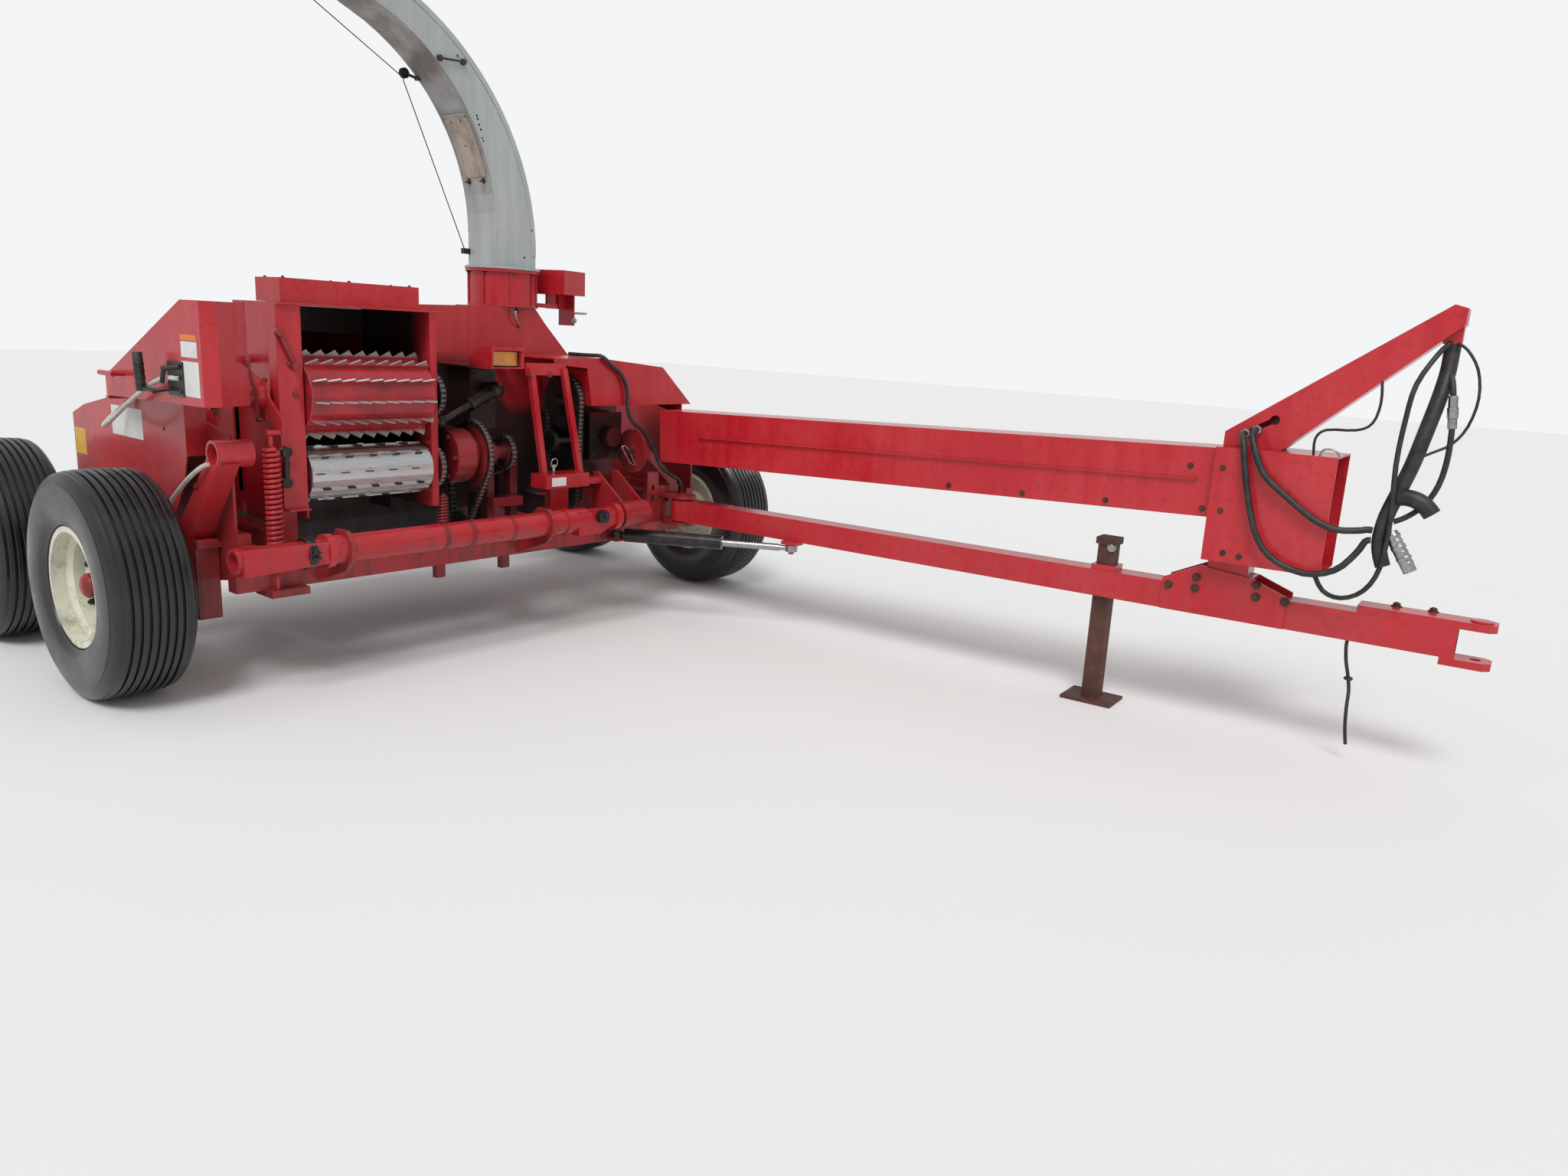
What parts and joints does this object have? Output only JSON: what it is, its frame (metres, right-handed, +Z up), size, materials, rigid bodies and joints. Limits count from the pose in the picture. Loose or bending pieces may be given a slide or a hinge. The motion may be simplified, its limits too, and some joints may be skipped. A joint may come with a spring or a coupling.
{
  "type": "forage harvester",
  "caption": "Pull-type forage harvester on tandem wheels, with an open feed housing, toothed feed roll, turning curved spout and a swinging drawbar on its parking stand.",
  "frame": {"origin": "middle of the bounding box on the ground", "axes": "+X forward towards the hitch, +Y to the left of the machine, +Z up"},
  "size_m": [5.1721, 3.229, 3.02],
  "materials": {
    "red_paint": "worn wet gloss",
    "dark_red_paint": "dirty satin",
    "cream_paint": "satin",
    "grey_paint": "weathered satin",
    "greasy_steel": "oily",
    "bare_steel": "polished by crop",
    "rusty_paint": "rusted",
    "tyre": "wet",
    "hose_rubber": "satin",
    "amber_plastic": "gloss",
    "rope": "braided"
  },
  "bodies": {
    "frame": {"chassis_frame": "red_paint", "axle_beam": "red_paint", "feed_housing": "red_paint", "detector_hood": "red_paint", "roll_arm_right": "red_paint", "roll_arm_left": "red_paint", "roll_spring_right": "red_paint", "roll_spring_left": "dark_red_paint", "lift_socket_arm": "red_paint", "right_lower_panel": "red_paint", "left_side_panel": "red_paint", "cutterhead_housing": "red_paint", "blower_housing": "red_paint", "spout_neck": "red_paint", "turntable_motor_box": "red_paint", "feed_chain_drive": "greasy_steel", "tall_chain_drive": "greasy_steel", "slip_clutch_shaft": "dark_red_paint", "telescopic_shaft": "greasy_steel", "feed_gearbox": "dark_red_paint", "main_gearbox": "dark_red_paint", "left_drive_shield": "red_paint", "lamp_box": "red_paint", "amber_lamp": "amber_plastic", "ladder_bracket": "red_paint", "hand_wheel": "dark_red_paint", "drive_hose": "hose_rubber", "socket_rope": "rope", "auger_housing": "red_paint", "cutter_belt_shield": "red_paint"},
    "tandem_right": {"tandem_beam_right": "red_paint"},
    "tandem_left": {"tandem_beam_left": "red_paint"},
    "wheel_right_front": {"wheel_rim_right_front": "cream_paint", "tyre_right_front": "tyre"},
    "wheel_right_rear": {"wheel_rim_right_rear": "cream_paint", "tyre_right_rear": "tyre"},
    "wheel_left_front": {"wheel_rim_left_front": "cream_paint", "tyre_left_front": "tyre"},
    "wheel_left_rear": {"wheel_rim_left_rear": "cream_paint", "tyre_left_rear": "tyre"},
    "upper_roll": {"upper_feed_roll": "red_paint"},
    "lower_roll": {"lower_feed_roll": "bare_steel"},
    "header_lift": {"header_lift_tube": "red_paint"},
    "shield_door": {"right_upper_shield": "red_paint", "shield_lever": "greasy_steel", "white_rope": "rope"},
    "spout": {"discharge_spout": "grey_paint"},
    "inspection_door": {"spout_door": "grey_paint"},
    "deflector": {"spout_deflector": "grey_paint"},
    "tongue": {"drawbar": "red_paint", "driveline_shield": "red_paint", "driveline_box": "red_paint", "hose_mast": "red_paint", "hydraulic_hoses": "hose_rubber", "lower_hose": "hose_rubber", "hose_sleeve": "hose_rubber"},
    "stand": {"parking_stand": "rusty_paint"},
    "cylinder_barrel": {"swing_cylinder_barrel": "greasy_steel"},
    "cylinder_rod": {"swing_cylinder_rod": "bare_steel"}
  },
  "joints": [
    {"name": "tandem_right_rock", "type": "hinge", "parent": "frame", "child": "tandem_right", "pos_m": [-1.67357, -1.475, 0.3925], "axis": [0, 1, 0], "range_deg": [-10, 10]},
    {"name": "wheel_right_front_spin", "type": "hinge", "parent": "tandem_right", "child": "wheel_right_front", "pos_m": [-1.15357, -1.475, 0.3925], "axis": [0, 1, 0], "continuous": true},
    {"name": "wheel_right_rear_spin", "type": "hinge", "parent": "tandem_right", "child": "wheel_right_rear", "pos_m": [-2.19357, -1.475, 0.3925], "axis": [0, 1, 0], "continuous": true},
    {"name": "tandem_left_rock", "type": "hinge", "parent": "frame", "child": "tandem_left", "pos_m": [-1.67357, 1.475, 0.3925], "axis": [0, 1, 0], "range_deg": [-10, 10]},
    {"name": "wheel_left_front_spin", "type": "hinge", "parent": "tandem_left", "child": "wheel_left_front", "pos_m": [-1.15357, 1.475, 0.3925], "axis": [0, 1, 0], "continuous": true},
    {"name": "wheel_left_rear_spin", "type": "hinge", "parent": "tandem_left", "child": "wheel_left_rear", "pos_m": [-2.19357, 1.475, 0.3925], "axis": [0, 1, 0], "continuous": true},
    {"name": "upper_roll_spin", "type": "hinge", "parent": "frame", "child": "upper_roll", "pos_m": [-0.97857, -0.637, 1.035], "axis": [0, 1, 0], "continuous": true},
    {"name": "lower_roll_spin", "type": "hinge", "parent": "frame", "child": "lower_roll", "pos_m": [-0.96557, -0.637, 0.752], "axis": [0, 1, 0], "continuous": true},
    {"name": "spout_turn", "type": "hinge", "parent": "frame", "child": "spout", "pos_m": [-1.38357, 0.335, 1.56], "axis": [0, 0, 1], "range_deg": [-180, 60]},
    {"name": "inspection_door_hinge", "type": "hinge", "parent": "spout", "child": "inspection_door", "pos_m": [-1.38357, 0.0808, 2.17798], "axis": [-1, 0, 0], "range_deg": [0, 70]},
    {"name": "deflector_tilt", "type": "hinge", "parent": "spout", "child": "deflector", "pos_m": [-1.38357, -0.86232, 2.87111], "axis": [1, 0, 0], "range_deg": [-8, 45]},
    {"name": "header_lift", "type": "hinge", "parent": "frame", "child": "header_lift", "pos_m": [-0.70357, -0.4, 0.515], "axis": [0, 1, 0], "range_deg": [-10, 20]},
    {"name": "shield_door_hinge", "type": "hinge", "parent": "frame", "child": "shield_door", "pos_m": [-1.51957, -1.291, 1.034], "axis": [0, 0, -1], "range_deg": [0, 100]},
    {"name": "tongue_swing", "type": "hinge", "parent": "frame", "child": "tongue", "pos_m": [-0.82357, 0.985, 0.475], "axis": [0, 0, 1], "range_deg": [-12, 10]},
    {"name": "stand_slide", "type": "slide", "parent": "tongue", "child": "stand", "axis": [0, 0, 1], "range_m": [0, 0.3]},
    {"name": "cylinder_barrel_swing", "type": "hinge", "parent": "frame", "child": "cylinder_barrel", "pos_m": [-0.83357, 0.56, 0.395], "axis": [0, 0, 1], "range_deg": [-14, 12]},
    {"name": "cylinder_rod_slide", "type": "slide", "parent": "cylinder_barrel", "child": "cylinder_rod", "axis": [0.8657, 0.5005, 0], "range_m": [-0.13, 0.13]}
  ],
  "couplings": [
    {"joint": "cylinder_barrel_swing", "follows": "tongue_swing", "ratio": 0.7311},
    {"joint": "cylinder_rod_slide", "follows": "tongue_swing", "m_per_rad": 0.3629}
  ]
}
